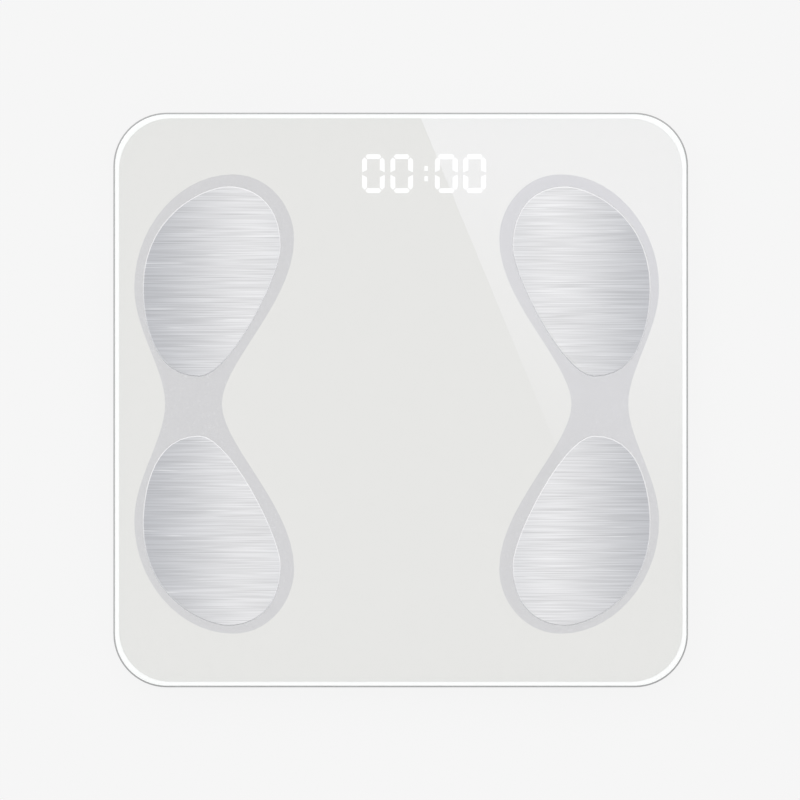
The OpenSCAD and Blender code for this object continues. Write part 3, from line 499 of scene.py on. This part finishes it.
# A battery's jacket: copper-coloured at the positive end, dark over the rest, bare metal at both ends
batteryLook = {
    "jacket": (0.055, 0.058, 0.065),
    "band": (0.60, 0.36, 0.20),
    "bandShare": 0.26,
    "bandSoft": 0.00008,
    "can": (0.78, 0.78, 0.77),
    "nubRing": 0.0022,
    "nubRingSoft": 0.00005,
    "flatRing": (0.00055, 0.00045),
    "metallic": (0.1, 1.0),
    "grainScale": 900.0,
    "rough": (0.25, 0.33),
}


def batteryMaterial(name, nubSide):
    low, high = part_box(name)
    nub = high[0] if nubSide > 0 else low[0]
    flat = low[0] if nubSide > 0 else high[0]
    length = abs(nub - flat)

    def paint(sheet):
        along = (sheet.axes(sheet.place())[0] - flat) * nubSide
        bandFrom, bandSoft = length * (1 - batteryLook["bandShare"]), batteryLook["bandSoft"]
        ringFrom, ringSoft = length - batteryLook["nubRing"], batteryLook["nubRingSoft"]
        band = sheet.level(along, bandFrom - bandSoft, bandFrom + bandSoft)
        nubRing = sheet.level(along, ringFrom - ringSoft, ringFrom + ringSoft)
        can = nubRing + sheet.level(along, *batteryLook["flatRing"])
        grain = sheet.noise(sheet.place(), batteryLook["grainScale"], 2.0)
        jacket = sheet.mix(band, batteryLook["jacket"], batteryLook["band"])
        values = {
            "Base Color": sheet.mix(can, jacket, batteryLook["can"]),
            "Metallic": sheet.level(can + band, 0.0, 1.0, *batteryLook["metallic"]),
            "Roughness": sheet.spread(grain, *batteryLook["rough"]),
        }
        return sheet.principled(values)

    return newMaterial(name + "_jacket", paint)


# Insulated wire, a little dusty
wireLook = {
    "black": (0.02, 0.02, 0.021),
    "red": (0.48, 0.02, 0.02),
    "white": (0.75, 0.75, 0.74),
    "dust": (0.45, 0.44, 0.43),
    "dustScale": 600.0,
    "dustAt": (0.35, 0.75),
    "dustShare": 0.18,
    "rough": (0.38, 0.5),
    "bump": (0.1, 0.00003),
}


def wireMaterial(tone):
    def paint(sheet):
        dust = sheet.noise(sheet.place(), wireLook["dustScale"], 3.0)
        dustShare = sheet.level(dust, *wireLook["dustAt"]) * wireLook["dustShare"]
        values = {
            "Base Color": sheet.mix(dustShare, wireLook[tone], wireLook["dust"]),
            "Roughness": sheet.spread(dust, *wireLook["rough"]),
            "Normal": sheet.bump(dust, *wireLook["bump"]),
        }
        return sheet.principled(values)

    return newMaterial(tone + "_wire", paint)


# Backlit digits: an even glow with a trace of haze
litLook = {
    "segment": (0.86, 0.86, 0.86),
    "rough": 0.4,
    "glow": (1.0, 1.0, 1.0),
    "haze": (0.97, 0.985, 1.0),
    "hazeScale": 700.0,
    "strength": 0.18,
}


def paintLit(sheet):
    haze = sheet.spread(sheet.noise(sheet.place(), litLook["hazeScale"], 2.0))
    values = {
        "Base Color": litLook["segment"],
        "Roughness": litLook["rough"],
        "Emission Color": sheet.mix(haze, litLook["glow"], litLook["haze"]),
        "Emission Strength": litLook["strength"],
    }
    return sheet.principled(values)


def byPlace(name):
    return [name + "_" + corner for corner in corners]


greyAbs = mouldedPlastic("grey_plastic", (0.405, 0.407, 0.41), 0.42, 0.0007)
whiteAbs = mouldedPlastic("white_plastic", (0.78, 0.78, 0.775), 0.42, 0.0005)
blackPlastic = mouldedPlastic("black_plastic", (0.022, 0.022, 0.024), 0.4, 0.0004)
buttonGrey = mouldedPlastic("button_plastic", (0.23, 0.235, 0.24), 0.45, 0.0003)
silicone = mouldedPlastic("gauge_silicone", (0.80, 0.80, 0.78), 0.35, 0.002, 0.0001)
blackFoam = mouldedPlastic("gasket_foam", (0.03, 0.03, 0.03), 0.9, 0.0009, 0.00012, 0.15)
plated = plainMetal("plated_steel", (0.72, 0.715, 0.69), 0.28)
cellSteel = plainMetal("cell_steel", (0.52, 0.525, 0.53), 0.34, 0.006, 0.1)

dress(newMaterial("clear_glass", paintGlass), "glass_panel")
dress(newMaterial("panel_print", paintPanelPrint), "backing_print")
dress(newMaterial("field_print", paintFieldPrint), "field_print_left", "field_print_right")
dress(newMaterial("foam_tape", paintFoamTape), "foam_tape")
dress(newMaterial("brushed_steel", paintBrushedSteel), *byPlace("electrode"))
dress(newMaterial("lit_segment", paintLit), "lit_segments")
dress(newMaterial("dark_segment", paintPanelPrint), "dark_segments")
dress(greyAbs, "base_tray", "battery_door", *byPlace("foot_cup"))
dress(whiteAbs, "display_frame", *byPlace("cell_clamp"))
dress(newMaterial("foot_rubber", paintRubber), *byPlace("foot_pad"))
dress(cellSteel, *byPlace("load_cell"))
dress(silicone, "gauge_seals")
dress(plated, "electrode_studs", "stud_nuts", "ring_terminals", "battery_springs", "battery_contacts")
dress(plated, "board_screws", "clamp_screws", *byPlace("foot_screw"))
dress(newMaterial("green_board", paintBoard), "main_board")
dress(newMaterial("board_parts", paintBoardParts), "board_parts")
dress(blackPlastic, "controller_chip", "unit_switch", "switch_plunger")
dress(blackFoam, "display_gasket")
dress(buttonGrey, "unit_button")
dress(wireMaterial("black"), "electrode_leads")
dress(wireMaterial("red"), "battery_leads")
dress(wireMaterial("white"), *byPlace("cell_lead"))
for name, nubSide in (("battery_front", 1), ("battery_middle", -1), ("battery_rear", 1)):
    dress(batteryMaterial(name, nubSide), name)
print("materials done")

# Under load a cell's tongue bends and takes its gauge seal along, so both are cut from the solids and sliced
# across
bendLook = {
    "boxHalf": 0.0095,  # the box that parts a tongue from its ring runs in the slot between them
    "boxRoot": 0.01195,
    "boxTip": 0.0112,
    "boxSpare": 0.001,
    "from": 0.0119,  # both from the middle of the cell, towards the tongue's root
    "to": 0.0052,
    "cuts": 9,
    "crispAngle": 35.0,
}


def onlyPick(piece):
    bpy.ops.object.select_all(action="DESELECT")
    piece.select_set(True)
    bpy.context.view_layer.objects.active = piece


def copyNode(name, newName):
    piece = bpy.data.objects.new(newName, nodes[name].data.copy())
    bpy.context.collection.objects.link(piece)
    onlyPick(piece)
    bpy.ops.mesh.customdata_custom_splitnormals_clear()
    bpy.ops.object.mode_set(mode="EDIT")
    bpy.ops.mesh.select_all(action="SELECT")
    bpy.ops.mesh.remove_doubles(threshold=weldWithin)
    bpy.ops.object.mode_set(mode="OBJECT")
    return piece


def carveBox(piece, low, high, operation):
    middle = [(a + b) / 2 for a, b in zip(low, high)]
    bpy.ops.mesh.primitive_cube_add(size=1.0, location=middle, scale=[b - a for a, b in zip(low, high)])
    box = bpy.context.object
    onlyPick(piece)
    carve = piece.modifiers.new("carve", "BOOLEAN")
    carve.object = box
    carve.operation = operation
    carve.solver = "EXACT"
    bpy.ops.object.modifier_apply(modifier="carve")
    bpy.data.objects.remove(box)


def slicePiece(piece, planes, keepFront=False):
    onlyPick(piece)
    bpy.ops.object.mode_set(mode="EDIT")
    for point, normal in planes:
        bpy.ops.mesh.select_all(action="SELECT")
        bpy.ops.mesh.bisect(plane_co=point, plane_no=normal, clear_inner=keepFront)
    bpy.ops.object.mode_set(mode="OBJECT")


def finishCopy(piece, material, node):
    onlyPick(piece)
    bpy.ops.object.shade_smooth_by_angle(angle=math.radians(bendLook["crispAngle"]))
    piece.data.materials.clear()
    piece.data.materials.append(material)
    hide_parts(node)


for corner in corners:
    low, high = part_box("load_cell_" + corner)
    x, y = (low[0] + high[0]) / 2, (low[1] + high[1]) / 2
    inward = -1 if y > 0 else 1
    boxEnds = sorted((y + inward * bendLook["boxRoot"], y - inward * bendLook["boxTip"]))
    boxLow = (x - bendLook["boxHalf"], boxEnds[0], low[2] - bendLook["boxSpare"])
    boxHigh = (x + bendLook["boxHalf"], boxEnds[1], high[2] + bendLook["boxSpare"])
    start = (x, y + inward * bendLook["from"], low[2])
    end = (x, y + inward * bendLook["to"], low[2])
    stepY = (end[1] - start[1]) / bendLook["cuts"]
    slices = [((x, start[1] + stepY * step, 0), (0, 1, 0)) for step in range(bendLook["cuts"] + 1)]

    ring = copyNode("load_cell_" + corner, "cell_ring_" + corner)
    carveBox(ring, boxLow, boxHigh, "DIFFERENCE")
    finishCopy(ring, cellSteel, "load_cell_" + corner)
    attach(ring, "platform")

    tongue = copyNode("load_cell_" + corner, "cell_tongue_" + corner)
    carveBox(tongue, boxLow, boxHigh, "INTERSECT")
    slicePiece(tongue, slices)
    finishCopy(tongue, cellSteel, "load_cell_" + corner)
    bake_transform(tongue)

    seal = copyNode("gauge_seals", "gauge_seal_" + corner)
    ownSide = (math.copysign(1, x), 0, 0)
    ownEnd = (0, math.copysign(1, y), 0)
    slicePiece(seal, [((0, 0, 0), ownSide), ((0, 0, 0), ownEnd)], keepFront=True)
    slicePiece(seal, slices)
    finishCopy(seal, silicone, "gauge_seals")
    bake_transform(seal)
print("load cells done")

# Most nodes bring smooth normals; the electrodes and springs are built from facets, so theirs are made here
facetAngle = 9
for name in (*byPlace("electrode"), "battery_springs"):
    obj = nodes[name]
    bpy.context.view_layer.objects.active = obj
    bpy.ops.mesh.customdata_custom_splitnormals_clear()
    obj.data.polygons.foreach_set("use_smooth", [True] * len(obj.data.polygons))
    weld = obj.modifiers.new("weld", "WELD")
    weld.merge_threshold = weldWithin
    split = obj.modifiers.new("crisp_edges", "EDGE_SPLIT")
    split.split_angle = math.radians(facetAngle)

# Prints and segments lie against the glass; a hair of air keeps the faces apart
hairOfAir = 0.00002
fieldPrints = ("field_print_left", "field_print_right")
for name in ("backing_print", *fieldPrints, "lit_segments", "dark_segments", "foam_tape"):
    air = nodes[name].modifiers.new("hair_of_air", "DISPLACE")
    air.direction = "Z"
    air.mid_level = 0.0
    air.strength = -hairOfAir
print("shading done")

# Camera straight above, far away, so that the outline stays square
cameraLook = {
    "lens": 600.0,
    "sensor": 36.0,
    "frameWidth": 0.3894,
    "aimX": -0.00034,
    "aimY": 0.0,
    "clip": (0.05, 40.0),
}
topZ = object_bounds()[1][2]
distance = cameraLook["frameWidth"] * cameraLook["lens"] / cameraLook["sensor"]
standpoint = (cameraLook["aimX"], cameraLook["aimY"], topZ + distance)
bpy.ops.object.camera_add(location=standpoint, rotation=(0, 0, 0))
camera = bpy.context.object
camera.name = "camera"
camera.data.lens = cameraLook["lens"]
camera.data.sensor_width = cameraLook["sensor"]
camera.data.clip_start = cameraLook["clip"][0]
camera.data.clip_end = cameraLook["clip"][1]
bpy.context.scene.camera = camera

# The room: pale to the camera, brighter towards the far side in mirrors, plain for soft light
roomLook = {
    "backdrop": 0.9216,
    "soft": 0.74,
    "softBelow": 1.0,
    "leanBelow": 0.35,
    "belowAt": (0.1, -0.1),
    "zenith": 1.0,
    "farGlow": 1.12,
    "nearDark": 0.55,
    "leanFrom": 0.25,  # how far a mirrored direction leans back or forward
    "leanTo": 0.95,
}
world = bpy.data.worlds.new("room")
bpy.context.scene.world = world
world.use_nodes = True
world.node_tree.nodes.clear()
room = Sheet(world.node_tree)
heading = room.add("ShaderNodeTexCoord", out="Generated")
side, away, up = room.axes(heading)
far = room.level(away, roomLook["leanFrom"], roomLook["leanTo"], smooth=True)
near = room.level(away, -roomLook["leanFrom"], -roomLook["leanTo"], smooth=True)
extra = far * (roomLook["farGlow"] - roomLook["zenith"])
lost = near * (roomLook["zenith"] - roomLook["nearDark"])
mirrored = extra - lost + roomLook["zenith"]
below = side * roomLook["leanBelow"] + roomLook["softBelow"]
soft = room.level(up, *roomLook["belowAt"], roomLook["soft"], below)
isCamera = room.ray("Is Camera Ray")
isGlossy = room.ray("Is Glossy Ray")
unseen = isGlossy * mirrored + (1 - isGlossy) * soft
strength = isCamera * roomLook["backdrop"] + (1 - isCamera) * unseen
sky = room.add("ShaderNodeBackground", None, {"Color": (1, 1, 1), "Strength": strength})
room.add("ShaderNodeOutputWorld", None, {"Surface": sky})

# A broad soft sun from above and behind, too wide for a hard shadow
lampLook = {"from": (-0.28, 0.5, 1.0), "spread": 75.0, "strength": 0.98}
bpy.ops.object.light_add(type="SUN", location=[4 * part for part in lampLook["from"]])
lamp = bpy.context.object
lamp.name = "soft_sun"
lamp.data.energy = lampLook["strength"]
lamp.data.angle = math.radians(lampLook["spread"])
lamp.rotation_euler = (-lamp.location).to_track_quat("-Z", "Y").to_euler()
lamp.visible_glossy = False

# A pale floor that keeps a faint shadow
floorLook = {"size": 14.0, "height": -0.00005, "tone": 0.9216, "shadowShare": 0.05}


def paintFloor(sheet):
    tone = (floorLook["tone"],) * 3
    matt = sheet.add("ShaderNodeBsdfDiffuse", None, {"Color": tone})
    glow = sheet.add("ShaderNodeEmission", None, {"Color": tone, "Strength": 1.0})
    seen = sheet.ray("Is Camera Ray") + sheet.ray("Is Glossy Ray") + sheet.ray("Is Transmission Ray")
    direct = seen.calc("MINIMUM", 1.0)
    topSide = sheet.add("ShaderNodeMixShader", None, [direct * (1 - floorLook["shadowShare"]), matt, glow])
    clear = sheet.add("ShaderNodeBsdfTransparent", None, [(1, 1, 1)])
    return sheet.add("ShaderNodeMixShader", None, [sheet.geometry("Backfacing"), topSide, clear])


bpy.ops.mesh.primitive_plane_add(size=floorLook["size"], location=(0, 0, floorLook["height"]))
floor = bpy.context.object
floor.name = "floor"
floor.visible_diffuse = False
floor.visible_shadow = False
floor.data.materials.append(newMaterial("pale_floor", paintFloor))

# A large bright window, seen only in the glass: it lies across its far right
windowLook = {
    "height": 3.0,
    "strength": 1.68,
    "tone": (0.84, 0.84, 1.0),
    "edgeTop": (0.0099, 0.1373),
    "edgeLow": (0.0776, -0.0268),
    "reach": 0.6,  # how far it runs to the right and to the back
    "front": -0.11,
    "fadeLean": 0.49,
    "fadeFrom": -0.0079,
    "fadeTo": 0.1382,
}
# Those places are on the glass; the window itself is larger by this
widen = 1 + windowLook["height"] / distance


def paintWindow(sheet):
    x, y = sheet.axes(sheet.place())[:2]
    fadeFrom, fadeTo = windowLook["fadeFrom"] * widen, windowLook["fadeTo"] * widen
    fade = sheet.level(y + x * windowLook["fadeLean"], fadeFrom, fadeTo)
    tone = sheet.scaled(windowLook["tone"], fade)
    glow = sheet.add("ShaderNodeEmission", None, {"Color": tone, "Strength": windowLook["strength"]})
    clear = sheet.add("ShaderNodeBsdfTransparent", None, [(1, 1, 1)])
    return sheet.add("ShaderNodeAddShader", None, [clear, glow])


(topX, topY), (lowerX, lowerY) = windowLook["edgeTop"], windowLook["edgeLow"]
slope = (topX - lowerX) / (topY - lowerY)
bpy.ops.object.select_all(action="DESELECT")
bpy.ops.mesh.primitive_plane_add(size=1.0)
window = bpy.context.object
window.name = "window"
for vertex, (right, upper) in zip(window.data.vertices, ((0, 0), (1, 0), (0, 1), (1, 1))):
    y = (windowLook["reach"] if upper else windowLook["front"]) * widen
    x = windowLook["reach"] * widen if right else topX * widen + (y - topY * widen) * slope
    vertex.co = (x, y, topZ + windowLook["height"])
window.data.materials.append(newMaterial("window_glow", paintWindow))
window.visible_camera = False
window.visible_diffuse = False
window.visible_transmission = False
window.visible_shadow = False
glassOnly = bpy.data.collections.new("glass_only")
glassOnly.objects.link(nodes["glass_panel"])
window.light_linking.receiver_collection = glassOnly

# Plates this thin throw no visible shadow through the glass
for name in byPlace("electrode"):
    nodes[name].visible_shadow = False
    nodes[name].visible_diffuse = False
print("stage done")

bpy.context.scene.view_settings.view_transform = "Standard"
